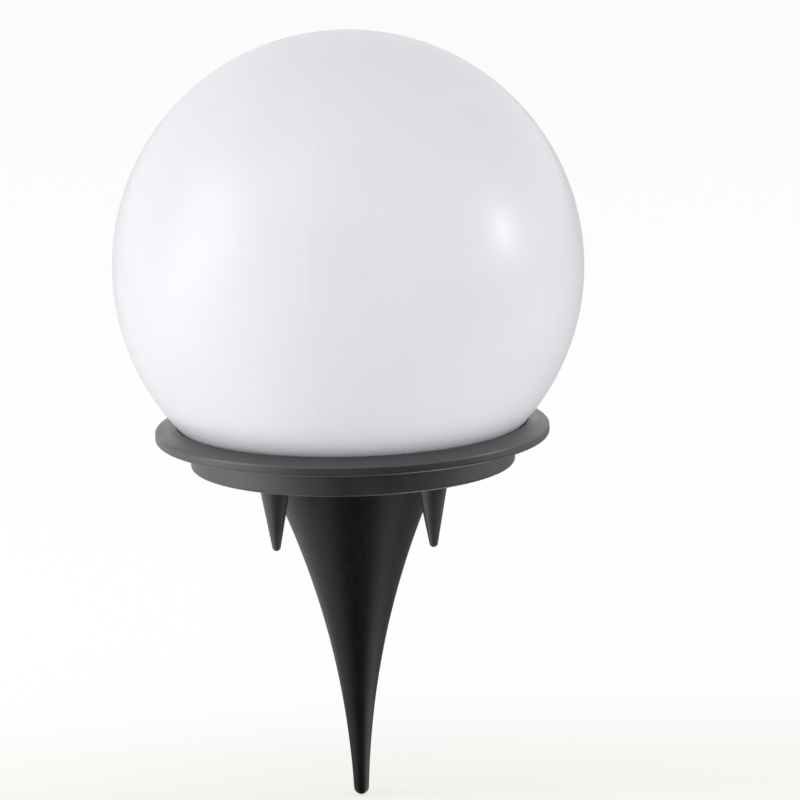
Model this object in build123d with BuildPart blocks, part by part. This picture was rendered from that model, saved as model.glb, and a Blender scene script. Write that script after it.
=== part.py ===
from build123d import *
import os
from math import acos, cos, degrees, radians, sin, sqrt

os.makedirs("parts", exist_ok=True)

# Garden globe light: a frosted globe that twists onto a black base, on a ground spike.
# The origin is on the axis at ground level, which is the underside of the base. +Z is up,
# and the front is towards -Y. All sizes are in millimetres.

# ------------------------------------------------------------------ driving dimensions
# Globe
globe_radius = 48.7
globe_wall = 1.8
shoulder_radius = 34.7        # where the ball turns in to its neck
shoulder_wall = 1.8
neck_wall = 1.8

# Bayonet that holds the globe
lug_count = 3
lug_reach = 1.35
lug_height = 1.6
lug_angle = 14                # degrees of arc
lock_turn = 30                # degrees from the entry slot to the locked stop
ledge_height = 1.5
ledge_overrun = 4             # degrees of ledge past the locked lug
stop_angle = 3                # degrees of arc of a stop rib
collar_wall = 1.6
collar_lip = 1.0              # collar above its ledges

# Base
disc_wall = 2.0               # wall of the lower disc
disc_height = 5.7
disc_round = 0.7
rim_radius = 40.75
rim_height = 2.2
rim_fall = 1.15               # the flange's top falls by this much out to its rim
rim_round = 0.7
well_depth = 1.5              # the globe's shoulder lies this deep under the brim
well_slope = 1.45             # the well opens by this much from its floor to its brim
cover_thickness = 2.2
trough_floor = 1.2
seal_height = 0.8
gasket_width = 1.4
gasket_height = 1.0

# Core, the sealed housing that stands up inside the globe
core_radius = 25.9
core_wall = 1.6
core_top = 23.6
deck_thickness = 2.4
core_lip = 1.4
core_round = 0.8

# Screws that hold cover, base and core together
boss_radius = 2.7
boss_height = 12.6
boss_place = 21.8             # radius of the circle that the bosses stand on
boss_angles = (0, 180, 270)
screw_radius = 1.25
screw_head_radius = 2.2
screw_head_height = 1.2
screw_length = 8.0
screw_hole_gap = 0.2          # round shank and head in the cover

# Form of both kinds of screw, as shares of their own radius or head height
head_round = 0.45
point_bevel = 0.4
cross_reach = 0.55            # half-length of the cross recess
cross_width = 0.22
cross_depth = 0.55

# Ground spike and its socket
spike_root = 18.8
spike_third = 7.85            # pull of the hollow outline at a third of the length
spike_two_thirds = 2.55       # and at two thirds
spike_tip = 1.55
spike_length = 70.0
spigot_radius = 8.9
spigot_length = 7.0
spigot_bevel = 0.6
key_width = 2.4               # one key on each side, along X
key_reach = 1.0
socket_wall = 1.7
socket_roof = 1.2
socket_spare = 0.3            # over the spigot's end
core_hole_radius = 6.2        # the spike is cored out from its top
core_hole_end = 2.4
core_hole_depth = 34.0

# Small spikes that stop the base from turning
pin_place = 22.9              # radius of the circle that they stand on
pin_root = 3.4
pin_end = 0.9
pin_length = 14.6
pin_count = 4
pin_start = 45                # degrees

# Solar panel
panel_size = 32.0
panel_board_thickness = 1.0
cell_count = 6
cell_gap = 0.5
cell_thickness = 0.2
cell_margin = 1.4
resin_thickness = 0.9
panel_corner = 1.0
panel_sink = 1.4              # depth of its recess in the deck

# Lamps
led_count = 4
led_place = 20.4
led_radius = 2.4
led_flange_radius = 2.8
led_flange = 0.8
led_height = 3.9              # from the flange to the top of the dome
led_leg = 0.5
led_leg_pitch = 2.54
led_leg_length = 1.5
bus_radius = 0.35
bus_drop = 2.0                # bend radius where a bus wire turns down to the board
bus_overrun = 2               # degrees that a bus wire runs past its first lamp
bus_ends = (40, 46)           # degrees where the two bus wires turn down

# Battery and its tray
battery_radius = 5.2
battery_length = 30.0
battery_nub_radius = 1.9
battery_nub = 1.0
battery_offset = -8.0         # from the axis, along Y
battery_round = 0.5
tray_wall = 1.2
tray_floor = 0.8
tray_height = 6.4
contact_thickness = 0.4
contact_width = 8.0
contact_height = 9.0
spring_depth = 2.4
spring_thickness = 0.3
spring_crest = 7.74           # heights of its bends over the tray's floor
spring_foot = 1.26
spring_back = 0.8             # its foot stands this far back from the cell
spring_bends = (0.5, 0.8, 2.0)
tray_window = 0.5             # share of the tray's length that its low side wall takes
tray_window_depth = 2.1

# Circuit board
board_radius = 23.4
board_edge = 0.9              # straight edge of the half-moon, along Y
board_thickness = 1.2
board_height = 12.4
board_notch = 0.5
post_radius = 2.2
post_places = ((-11.5, 8.0), (11.5, 8.0))
board_screw_radius = 0.85
board_screw_head = 1.7
board_screw_head_height = 1.0
board_screw_length = 4.6

# Parts on the board
chip_place = (0.0, 6.6)
chip_size = (4.9, 3.9, 1.5)
chip_leg = (0.4, 1.1, 0.2)
chip_leg_pitch = 1.27
chip_side_legs = 4
chip_bevel = 0.25
chip_lift = 0.1               # body over the board
choke_place = (7.2, 16.2)
choke_radius = 3.0
choke_height = 4.8
choke_waist = 2.1
choke_flange = 1.0            # thickness of a flange at its rim
choke_taper = 0.2             # and how much thicker it is at the waist
capacitor_place = (-7.2, 16.2)
capacitor_radius = 2.5
capacitor_height = 5.0
capacitor_round = 0.4
resistor_place = (0.0, 13.2)
resistor_radius = 1.15
resistor_length = 6.2
resistor_wire = 0.3
resistor_lift = 0.5
resistor_round = 0.55
resistor_wire_out = 1.2       # from the body's end to the middle of the bent wire
resistor_wire_bend = 0.6

# Switch
switch_place = 21.3           # from the axis, along +Y
switch_size = (8.6, 4.4, 3.6)
switch_travel = 2.0
slider_size = (4.0, 2.8, 1.2)
knob_size = (2.0, 2.0)
switch_skin = 0.8
terminal_size = (0.8, 0.5, 2.2)
terminal_pitch = 2.5
terminal_count = 3
pocket_length = 11.0
pocket_width = 5.2
pocket_depth = 1.1
knob_recess = 0.3             # how far the knob stays inside the underside
knob_bevel = 0.2

# Leads
lead_radius = 0.45
lead_bend = 1.2
panel_lead_inset = 4.8        # from the panel's edge on +Y
panel_lead_split = 0.8        # to each side of the middle
panel_lead_landing = (2.4, 10.4)    # on the circuit board, one on each side
panel_lead_ends = 0.25        # share of the height that each straight end takes
lead_hole_gap = 0.3
battery_lead_out = 1.8        # from the contact to the bend beside the tray
battery_lead_rise = 0.65      # its solder joint, as a share of the contact's height over the tray
battery_lead_places = (-6.0, 4.5)   # along Y, at the contact and at the board

# Clearances
fit = 0.05                    # running fit of a shaft, key or screw in its hole
slip = 0.1                    # flat pieces that slide or drop in
core_gap = 0.2                # core in the collar
lug_gap = 0.35                # lugs past the collar
neck_gap = 0.3                # neck in its trough, shoulder over its seat
ledge_gap = 0.3               # over the lugs, and the ledges inside the neck

# ------------------------------------------------------------------ worked out from them
collar_in = core_radius + core_gap
collar_out = collar_in + collar_wall
lug_in = collar_out + lug_gap
neck_in = lug_in + lug_reach
neck_out = neck_in + neck_wall
trough_out = neck_out + neck_gap
disc_radius = trough_out + disc_wall
cover_radius = trough_out - slip
ledge_root = collar_out - collar_wall / 2
ledge_out = neck_in - ledge_gap

trough_bottom = cover_thickness + trough_floor
neck_bottom = trough_bottom + seal_height
lug_top = neck_bottom + lug_height
ledge_bottom = lug_top + ledge_gap
ledge_top = ledge_bottom + ledge_height
collar_top = ledge_top + collar_lip
rim_top = disc_height + rim_height
brim_height = rim_top + rim_fall
shoulder_height = brim_height - well_depth
seat_height = shoulder_height - neck_gap
well_bottom = shoulder_radius + neck_gap + slip
well_top = well_bottom + well_slope

gasket_middle = (collar_out + trough_out) / 2

globe_centre = shoulder_height + sqrt(globe_radius**2 - shoulder_radius**2)
globe_inner = globe_radius - globe_wall
shoulder_top = shoulder_height + shoulder_wall
shoulder_inner = sqrt(globe_inner**2 - (globe_centre - shoulder_top) ** 2)

deck_under = core_top - deck_thickness
core_inner = core_radius - core_wall
lip_top = collar_top + core_lip

socket_radius = spigot_radius + fit
socket_outer = socket_radius + key_reach + socket_wall
socket_depth = spigot_length + socket_spare
socket_top = socket_depth + socket_roof
pin_cap = pin_end - pin_length

tray_bottom = socket_top + slip
tray_inside = tray_bottom + tray_floor
battery_height = tray_inside + battery_radius + fit
tray_length_in = battery_length + contact_thickness + spring_depth
tray_length = tray_length_in + 2 * tray_wall
tray_width_in = 2 * (battery_radius + slip)
tray_width = tray_width_in + 2 * tray_wall
tray_end_x = tray_length_in / 2
battery_plus_x = tray_end_x - contact_thickness

board_top = board_height + board_thickness
panel_floor = core_top - panel_sink
panel_lead_y = panel_size / 2 - panel_lead_inset
cell_floor = panel_floor + panel_board_thickness
bus_height = deck_under - led_flange - led_leg_length / 2


def around(count, start=0.0):
    """Angles of a ring of equal places."""
    return [start + 360 / count * step for step in range(count)]


def radial_plane(angle):
    """Upright plane through the axis: its X runs outwards at the angle, its Y runs up."""
    a = radians(angle)
    return Plane(origin=(0, 0, 0), x_dir=(cos(a), sin(a), 0), z_dir=(sin(a), -cos(a), 0))


def radial_point(radius, angle, height):
    """Point at a radius and an angle about the axis, at a height."""
    return (radius * cos(radians(angle)), radius * sin(radians(angle)), height)


# ------------------------------------------------------------------ globe
# Blow-moulded ball with a flat shoulder and a short neck. Lugs inside the neck hook under
# the ledges of the base.
shoulder_angle = -degrees(acos(shoulder_radius / globe_radius))
inner_angle = -degrees(acos(shoulder_inner / globe_inner))
with BuildPart() as globe:
    with BuildSketch(Plane.XZ):
        with BuildLine():
            CenterArc((0, globe_centre), globe_radius, 90, shoulder_angle - 90)
            Polyline(
                (shoulder_radius, shoulder_height),
                (neck_out, shoulder_height),
                (neck_out, neck_bottom),
                (neck_in, neck_bottom),
                (neck_in, shoulder_top),
                (shoulder_inner, shoulder_top),
            )
            CenterArc((0, globe_centre), globe_inner, inner_angle, 90 - inner_angle)
            Line((0, globe_centre + globe_inner), (0, globe_centre + globe_radius))
        make_face()
    revolve(axis=Axis.Z)
    for angle in around(lug_count, -lug_angle / 2):
        with BuildSketch(radial_plane(angle)):
            with Locations(((lug_in + neck_in + neck_wall / 2) / 2, neck_bottom + lug_height / 2)):
                Rectangle(lug_reach + neck_wall / 2, lug_height)
        revolve(axis=Axis.Z, revolution_arc=lug_angle)
globe.part.label = "globe"
export_step(globe.part, "parts/globe.step")

# Flat rubber ring in the trough. The neck stands on it.
with BuildPart() as globe_seal:
    with BuildSketch(Plane.XY.offset(trough_bottom)):
        Circle(neck_out)
        Circle(neck_in, mode=Mode.SUBTRACT)
    extrude(amount=seal_height)
globe_seal.part.label = "globe_seal"
export_step(globe_seal.part, "parts/globe_seal.step")

# ------------------------------------------------------------------ base dish
# Lower disc, flange with a sloping top, well and trough for the globe, and the collar with
# its bayonet ledges, turned as one section.
with BuildPart() as base_dish:
    with BuildSketch(Plane.XZ) as dish_section:
        with BuildLine():
            Polyline(
                (disc_radius, 0),
                (disc_radius, disc_height),
                (rim_radius, disc_height),
                (rim_radius, rim_top),
                (well_top, brim_height),
                (well_bottom, seat_height),
                (trough_out, seat_height),
                (trough_out, trough_bottom),
                (collar_out, trough_bottom),
                (collar_out, collar_top),
                (collar_in, collar_top),
                (collar_in, cover_thickness),
                (trough_out, cover_thickness),
                (trough_out, 0),
                close=True,
            )
        make_face()
        rim_corners = dish_section.vertices().group_by(Axis.X)[-1]
        fillet(rim_corners, rim_round)
        foot_corner = dish_section.vertices().group_by(Axis.Y)[0].sort_by(Axis.X)[-1]
        fillet(foot_corner, disc_round)
    revolve(axis=Axis.Z)
    for angle in around(lug_count):
        slot_edge = -lug_angle / 2 - ledge_overrun / 2
        ledge_arc = lock_turn + ledge_overrun + stop_angle
        with BuildSketch(radial_plane(angle + slot_edge - ledge_arc)):
            with Locations((ledge_root, ledge_bottom)):
                Rectangle(ledge_out - ledge_root, ledge_height, align=Align.MIN)
        revolve(axis=Axis.Z, revolution_arc=ledge_arc)
        with BuildSketch(radial_plane(angle - lock_turn - lug_angle / 2 - stop_angle - fit)):
            with Locations((ledge_root, trough_bottom)):
                Rectangle(ledge_out - ledge_root, ledge_top - trough_bottom, align=Align.MIN)
        revolve(axis=Axis.Z, revolution_arc=stop_angle)
base_dish.part.label = "base_dish"
export_step(base_dish.part, "parts/base_dish.step")

# ------------------------------------------------------------------ bottom cover
# Plate that closes the base from below, with the socket for the ground spike, four small
# spikes, counterbored screw holes, the groove for the gasket and the switch's pocket.
with BuildPart() as bottom_cover:
    with BuildSketch():
        Circle(cover_radius)
    extrude(amount=cover_thickness)
    with BuildSketch(Plane.XY.offset(cover_thickness)):
        Circle(socket_outer)
    extrude(amount=socket_top - cover_thickness)
    fillet(bottom_cover.edges().group_by(Axis.Z)[-1], socket_roof / 2)
    with BuildSketch():
        Circle(socket_radius)
        Rectangle(2 * (spigot_radius + key_reach + fit), key_width + 2 * fit)
    extrude(amount=socket_depth, mode=Mode.SUBTRACT)
    with BuildSketch(Plane.XY.offset(cover_thickness - gasket_height)):
        Circle(gasket_middle + gasket_width / 2 + fit)
        Circle(gasket_middle - gasket_width / 2 - fit, mode=Mode.SUBTRACT)
    extrude(amount=gasket_height, mode=Mode.SUBTRACT)
    for angle in boss_angles:
        with Locations(Plane(radial_point(boss_place, angle, 0), z_dir=(0, 0, -1))):
            CounterBoreHole(
                radius=screw_radius + screw_hole_gap,
                counter_bore_radius=screw_head_radius + screw_hole_gap,
                counter_bore_depth=screw_head_height + slip,
                depth=cover_thickness,
            )
    with BuildSketch():
        with Locations((0, switch_place)):
            SlotOverall(pocket_length, pocket_width)
    extrude(amount=pocket_depth, mode=Mode.SUBTRACT)
    with BuildSketch():
        with Locations((0, switch_place)):
            Rectangle(knob_size[0] + switch_travel + 2 * slip, knob_size[1] + 2 * slip)
    extrude(amount=cover_thickness, mode=Mode.SUBTRACT)
    for angle in around(pin_count, pin_start):
        axis_plane = radial_plane(angle)
        foot_plane = Plane(radial_point(pin_place, angle, 0), axis_plane.x_dir, axis_plane.z_dir)
        with BuildSketch(foot_plane):
            with BuildLine():
                Polyline(
                    (0, pin_cap),
                    (0, cover_thickness / 2),
                    (pin_root, cover_thickness / 2),
                    (pin_root, 0),
                    (pin_end, pin_cap),
                )
                CenterArc((0, pin_cap), pin_end, 0, -90)
                Line((0, -pin_length), (0, pin_cap))
            make_face()
        revolve(axis=Axis(radial_point(pin_place, angle, 0), (0, 0, 1)))
bottom_cover.part.label = "bottom_cover"
export_step(bottom_cover.part, "parts/bottom_cover.step")

# Gasket that seals the cover to the dish, lying in the cover's groove.
with BuildPart() as base_gasket:
    with BuildSketch(Plane.XY.offset(cover_thickness - gasket_height)):
        Circle(gasket_middle + gasket_width / 2)
        Circle(gasket_middle - gasket_width / 2, mode=Mode.SUBTRACT)
    extrude(amount=gasket_height)
base_gasket.part.label = "base_gasket"
export_step(base_gasket.part, "parts/base_gasket.step")

# ------------------------------------------------------------------ core housing
# Upside-down cup that holds the electronics. Its lip sits on the collar, its bosses take the
# cover screws, its deck carries the solar panel and the lamps.
with BuildPart() as core_housing:
    with BuildSketch(Plane.XZ) as core_section:
        with BuildLine():
            Polyline(
                (0, core_top),
                (core_radius, core_top),
                (core_radius, lip_top),
                (collar_out, lip_top),
                (collar_out, collar_top),
                (core_radius, collar_top),
                (core_radius, cover_thickness),
                (core_inner, cover_thickness),
                (core_inner, deck_under),
                (0, deck_under),
                close=True,
            )
        make_face()
        lip_corner = core_section.vertices().group_by(Axis.X)[-1].sort_by(Axis.Y)[-1:]
        deck_corner = core_section.vertices().group_by(Axis.Y)[-1].sort_by(Axis.X)[-1:]
        fillet(lip_corner + deck_corner, core_round)
    revolve(axis=Axis.Z)
    for angle in boss_angles:
        with BuildSketch(Plane.XY.offset(cover_thickness)):
            with Locations(radial_point(boss_place, angle, 0)):
                Circle(boss_radius)
            with Locations(Location(radial_point(core_inner, angle, 0), (0, 0, angle))):
                Rectangle(2 * (core_inner - boss_place), boss_radius, align=(Align.MAX, Align.CENTER))
                Rectangle(core_wall / 2, boss_radius, align=(Align.MIN, Align.CENTER))
        extrude(amount=boss_height)
        with Locations(Plane(radial_point(boss_place, angle, cover_thickness), z_dir=(0, 0, -1))):
            Hole(radius=screw_radius + fit, depth=screw_length)
    with BuildSketch(Plane.XY.offset(board_top)):
        with Locations(*post_places):
            Circle(post_radius)
    extrude(amount=deck_under - board_top + fit)
    with BuildSketch(Plane.XY.offset(board_top)):
        with Locations(*post_places):
            Circle(board_screw_radius + fit)
    extrude(amount=board_screw_length - board_thickness + slip, mode=Mode.SUBTRACT)
    with BuildSketch(Plane.XY.offset(core_top)):
        RectangleRounded(panel_size + 2 * slip, panel_size + 2 * slip, panel_corner + slip)
    extrude(amount=-panel_sink, mode=Mode.SUBTRACT)
    with BuildSketch(Plane.XY.offset(core_top)):
        with PolarLocations(led_place, led_count):
            Circle(led_radius + slip)
        with Locations((0, panel_lead_y)):
            SlotCenterToCenter(2 * panel_lead_split, 2 * (lead_radius + lead_hole_gap))
    extrude(amount=-deck_thickness, mode=Mode.SUBTRACT)
core_housing.part.label = "core_housing"
export_step(core_housing.part, "parts/core_housing.step")


def pan_screw(radius, length, head_radius, head_height):
    """Screw with a domed head and a cross recess. It points up from z = 0, head below."""
    cross_length = 2 * cross_reach * head_radius
    with BuildPart() as screw:
        Cylinder(radius, length, align=(Align.CENTER, Align.CENTER, Align.MIN))
        with Locations((0, 0, -head_height)):
            Cylinder(head_radius, head_height, align=(Align.CENTER, Align.CENTER, Align.MIN))
        fillet(screw.edges().group_by(Axis.Z)[0], head_round * head_height)
        chamfer(screw.edges().group_by(Axis.Z)[-1], point_bevel * radius)
        with BuildSketch(Plane.XY.offset(-head_height)):
            Rectangle(cross_length, cross_width * head_radius)
            Rectangle(cross_width * head_radius, cross_length)
        extrude(amount=cross_depth * head_height, mode=Mode.SUBTRACT)
    return screw.part


cover_screw = pan_screw(screw_radius, screw_length, screw_head_radius, screw_head_height)
cover_screw_seat = screw_head_height + slip
cover_screws = Compound(children=[
    Location(radial_point(boss_place, angle, cover_screw_seat)) * cover_screw
    for angle in boss_angles
])
cover_screws.label = "cover_screws"
export_step(cover_screws, "parts/cover_screws.step")

# ------------------------------------------------------------------ ground spike
# Turned outline that is hollow like a trumpet. The spigot on top plugs into the socket of
# the cover, with two keys against turning.
with BuildPart() as ground_spike:
    with BuildSketch(Plane.XZ) as spike_section:
        with BuildLine():
            tip_height = spike_tip - spike_length
            Polyline(
                (0, tip_height),
                (0, spigot_length),
                (spigot_radius, spigot_length),
                (spigot_radius, 0),
                (spike_root, 0),
            )
            Bezier(
                (spike_root, 0),
                (spike_third, tip_height / 3),
                (spike_two_thirds, 2 * tip_height / 3),
                (spike_tip, tip_height),
            )
            CenterArc((0, tip_height), spike_tip, 0, -90)
            Line((0, -spike_length), (0, tip_height))
        make_face()
    revolve(axis=Axis.Z)
    with BuildSketch():
        Rectangle(2 * (spigot_radius + key_reach), key_width)
    extrude(amount=spigot_length)
    chamfer(ground_spike.faces().sort_by(Axis.Z)[-1].edges(), spigot_bevel)
    with BuildSketch(Plane.XZ):
        with BuildLine():
            Polyline(
                (0, spigot_length),
                (core_hole_radius, spigot_length),
                (core_hole_end, spigot_length - core_hole_depth),
                (0, spigot_length - core_hole_depth),
                close=True,
            )
        make_face()
    revolve(axis=Axis.Z, mode=Mode.SUBTRACT)
ground_spike.part.label = "ground_spike"
export_step(ground_spike.part, "parts/ground_spike.step")

# ------------------------------------------------------------------ solar panel
with BuildPart() as panel_board:
    with BuildSketch(Plane.XY.offset(panel_floor)):
        RectangleRounded(panel_size, panel_size, panel_corner)
    extrude(amount=panel_board_thickness)
panel_board.part.label = "panel_board"
export_step(panel_board.part, "parts/panel_board.step")

cell_field = panel_size - 2 * cell_margin
cell_width = (cell_field - (cell_count - 1) * cell_gap) / cell_count
with BuildPart() as solar_cells:
    with BuildSketch(Plane.XY.offset(cell_floor)):
        with GridLocations(cell_width + cell_gap, 0, cell_count, 1):
            Rectangle(cell_width, cell_field)
    extrude(amount=cell_thickness)
solar_cells.part.label = "solar_cells"
export_step(solar_cells.part, "parts/solar_cells.step")

# Clear resin over the cells, cast round each of them.
with BuildPart() as panel_resin:
    with BuildSketch(Plane.XY.offset(cell_floor)):
        RectangleRounded(panel_size, panel_size, panel_corner)
    extrude(amount=cell_thickness + resin_thickness)
    fillet(panel_resin.edges().group_by(Axis.Z)[-1], resin_thickness / 2)
    with BuildSketch(Plane.XY.offset(cell_floor)):
        with GridLocations(cell_width + cell_gap, 0, cell_count, 1):
            Rectangle(cell_width, cell_field)
    extrude(amount=cell_thickness, mode=Mode.SUBTRACT)
panel_resin.part.label = "panel_resin"
export_step(panel_resin.part, "parts/panel_resin.step")

# ------------------------------------------------------------------ lamps
# Straw-hat lamps pushed up through the deck. Their legs stand radially, and two bus wires
# run round under the deck, one on each ring of legs.
with BuildPart() as lamp:
    with BuildSketch(Plane.XZ):
        with BuildLine():
            Polyline(
                (0, led_height - led_radius),
                (0, -led_flange),
                (led_flange_radius, -led_flange),
                (led_flange_radius, 0),
                (led_radius, 0),
                (led_radius, led_height - led_radius),
            )
            CenterArc((0, led_height - led_radius), led_radius, 0, 90)
            Line((0, led_height), (0, led_height - led_radius))
        make_face()
    revolve(axis=Axis.Z)
leds = Compound(children=[
    Location(radial_point(led_place, angle, deck_under), (0, 0, angle)) * lamp.part
    for angle in around(led_count)
])
leds.label = "leds"
export_step(leds, "parts/leds.step")

with BuildPart() as led_legs:
    with BuildSketch(Plane.XY.offset(deck_under - led_flange)):
        with PolarLocations(led_place - led_leg_pitch / 2, led_count):
            Rectangle(led_leg, led_leg)
        with PolarLocations(led_place + led_leg_pitch / 2, led_count):
            Rectangle(led_leg, led_leg)
    extrude(amount=-led_leg_length)
led_legs.part.label = "led_legs"
export_step(led_legs.part, "parts/led_legs.step")


def wire(path, radius):
    """Round wire swept along a path of tangent runs and arcs."""
    with BuildPart() as lead:
        with BuildSketch(Plane(origin=path @ 0, z_dir=path % 0)):
            Circle(radius)
        sweep(path=path)
    return lead.part


# Each bus wire starts at the lamp on +X, runs round beside its ring of legs past the other
# lamps, and ends in a drop to the board.
bus_beside = led_leg / 2 + bus_radius + fit
bus_wires = []
for side, bus_end in zip((-1, 1), bus_ends):
    bus_ring = led_place + side * led_leg_pitch / 2 + bus_beside
    with BuildLine() as bus_path:
        ring = CenterArc((0, 0, bus_height), bus_ring, bus_overrun, bus_end - 360 - bus_overrun)
        ring_end = ring @ 1
        bend_end = ring_end + (ring % 1) * bus_drop - Vector(0, 0, bus_drop)
        TangentArc(ring_end, bend_end, tangent=ring % 1)
        Line(bend_end, (bend_end.X, bend_end.Y, board_top))
    bus_wires.append(wire(bus_path.wire(), bus_radius))
led_bus_wires = Compound(children=bus_wires)
led_bus_wires.label = "led_bus_wires"
export_step(led_bus_wires, "parts/led_bus_wires.step")

# ------------------------------------------------------------------ battery
with BuildPart() as battery_cell:
    with BuildSketch(Plane.YZ.offset(battery_plus_x - battery_length)):
        with Locations((battery_offset, battery_height)):
            Circle(battery_radius)
    extrude(amount=battery_length - battery_nub)
    fillet(battery_cell.edges().filter_by(GeomType.CIRCLE), battery_round)
    with BuildSketch(Plane.YZ.offset(battery_plus_x - battery_nub)):
        with Locations((battery_offset, battery_height)):
            Circle(battery_nub_radius)
    extrude(amount=battery_nub)
battery_cell.part.label = "battery_cell"
export_step(battery_cell.part, "parts/battery_cell.step")

# Open tray that stands on the socket's roof, its floor hollowed to the cell.
with BuildPart() as battery_tray:
    with BuildSketch(Plane.XY.offset(tray_bottom)):
        with Locations((0, battery_offset)):
            RectangleRounded(tray_length, tray_width, tray_wall)
    extrude(amount=tray_height)
    with BuildSketch(Plane.XY.offset(tray_inside)):
        with Locations((0, battery_offset)):
            Rectangle(tray_length_in, tray_width_in)
    extrude(amount=tray_height, mode=Mode.SUBTRACT)
    with BuildSketch(Plane.XY.offset(tray_bottom + tray_height)):
        with Locations((0, battery_offset)):
            SlotOverall(tray_window * tray_length, tray_width + tray_wall)
    extrude(amount=-tray_window_depth, mode=Mode.SUBTRACT)
battery_tray.part.label = "battery_tray"
export_step(battery_tray.part, "parts/battery_tray.step")

with BuildPart() as positive_contact:
    with BuildSketch(Plane.YZ.offset(battery_plus_x)):
        with Locations((battery_offset, tray_inside)):
            RectangleRounded(contact_width, 2 * contact_height, tray_wall)
            Rectangle(
                tray_width,
                2 * contact_height,
                align=(Align.CENTER, Align.MAX),
                mode=Mode.SUBTRACT,
            )
    extrude(amount=contact_thickness)
positive_contact.part.label = "positive_contact"
export_step(positive_contact.part, "parts/positive_contact.step")

# Bowed leaf spring: up the tray's end wall, over, and down again pressing on the cell.
leaf_out = -tray_end_x + spring_thickness / 2
leaf_in = battery_plus_x - battery_length - spring_thickness / 2
with BuildPart() as negative_spring:
    with BuildSketch(Plane.XZ.offset(-battery_offset - contact_width / 2)):
        with BuildLine():
            FilletPolyline(
                (leaf_out, tray_inside + fit),
                (leaf_out, tray_inside + contact_height),
                ((leaf_out + leaf_in) / 2, tray_inside + spring_crest),
                (leaf_in, battery_height),
                (leaf_in - spring_back, tray_inside + spring_foot),
                radius=spring_bends,
            )
        trace(line_width=spring_thickness)
    extrude(amount=contact_width)
negative_spring.part.label = "negative_spring"
export_step(negative_spring.part, "parts/negative_spring.step")

# ------------------------------------------------------------------ circuit board
with BuildPart() as circuit_board:
    with BuildSketch(Plane.XY.offset(board_height)):
        Circle(board_radius)
        with Locations((0, board_edge)):
            Rectangle(
                2 * board_radius,
                2 * board_radius,
                align=(Align.CENTER, Align.MAX),
                mode=Mode.SUBTRACT,
            )
        for angle in boss_angles:
            with Locations(radial_point(boss_place, angle, 0)):
                Circle(boss_radius + board_notch, mode=Mode.SUBTRACT)
        with Locations(*post_places):
            Circle(board_screw_radius + fit, mode=Mode.SUBTRACT)
    extrude(amount=board_thickness)
circuit_board.part.label = "circuit_board"
export_step(circuit_board.part, "parts/circuit_board.step")

board_screw = pan_screw(
    board_screw_radius, board_screw_length, board_screw_head, board_screw_head_height
)
board_screws = Compound(children=[
    Location((x, y, board_height)) * board_screw for x, y in post_places
])
board_screws.label = "board_screws"
export_step(board_screws, "parts/board_screws.step")

# ------------------------------------------------------------------ parts on the board
with BuildPart() as driver_chip:
    with BuildSketch(Plane.XY.offset(board_top + chip_lift)):
        with Locations(chip_place):
            Rectangle(chip_size[0], chip_size[1])
    extrude(amount=chip_size[2])
    chamfer(driver_chip.edges().group_by(Axis.Z)[-1], chip_bevel)
    with BuildSketch(Plane.XY.offset(board_top)):
        for side in (-1, 1):
            with Locations((chip_place[0], chip_place[1] + side * (chip_size[1] / 2 + chip_leg[1] / 2))):
                with GridLocations(chip_leg_pitch, 0, chip_side_legs, 1):
                    Rectangle(chip_leg[0], chip_leg[1] + 2 * chip_leg[2])
    extrude(amount=chip_leg[2] + chip_lift)
driver_chip.part.label = "driver_chip"
export_step(driver_chip.part, "parts/driver_chip.step")

# Bobbin choke: a waist between two flanges that taper towards it.
choke_foot = (*choke_place, board_top)
choke_waist_start = choke_flange + choke_taper
with BuildPart() as choke:
    with BuildSketch(Plane(origin=choke_foot, x_dir=(1, 0, 0), z_dir=(0, -1, 0))):
        with BuildLine():
            Polyline(
                (0, 0),
                (choke_radius, 0),
                (choke_radius, choke_flange),
                (choke_waist, choke_waist_start),
                (choke_waist, choke_height - choke_waist_start),
                (choke_radius, choke_height - choke_flange),
                (choke_radius, choke_height),
                (0, choke_height),
                close=True,
            )
        make_face()
    revolve(axis=Axis(choke_foot, (0, 0, 1)))
choke.part.label = "choke"
export_step(choke.part, "parts/choke.step")

with BuildPart() as capacitor:
    with BuildSketch(Plane.XY.offset(board_top)):
        with Locations(capacitor_place):
            Circle(capacitor_radius)
    extrude(amount=capacitor_height)
    fillet(capacitor.edges().filter_by(GeomType.CIRCLE), capacitor_round)
capacitor.part.label = "capacitor"
export_step(capacitor.part, "parts/capacitor.step")

with BuildPart() as resistor:
    axis_height = board_top + resistor_lift + resistor_radius
    wire_turn = resistor_length / 2 + resistor_wire_out
    with BuildSketch(Plane.YZ.offset(-resistor_length / 2)):
        with Locations((resistor_place[1], axis_height)):
            Circle(resistor_radius)
    extrude(amount=resistor_length)
    fillet(resistor.edges().filter_by(GeomType.CIRCLE), resistor_round)
    with BuildLine(Plane.XZ.offset(-resistor_place[1])):
        FilletPolyline(
            (-wire_turn, board_top),
            (-wire_turn, axis_height),
            (wire_turn, axis_height),
            (wire_turn, board_top),
            radius=resistor_wire_bend,
        )
    with BuildSketch(Plane.XY.offset(board_top)):
        with Locations((-wire_turn, resistor_place[1])):
            Circle(resistor_wire)
    sweep()
resistor.part.label = "resistor"
export_step(resistor.part, "parts/resistor.step")

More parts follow.
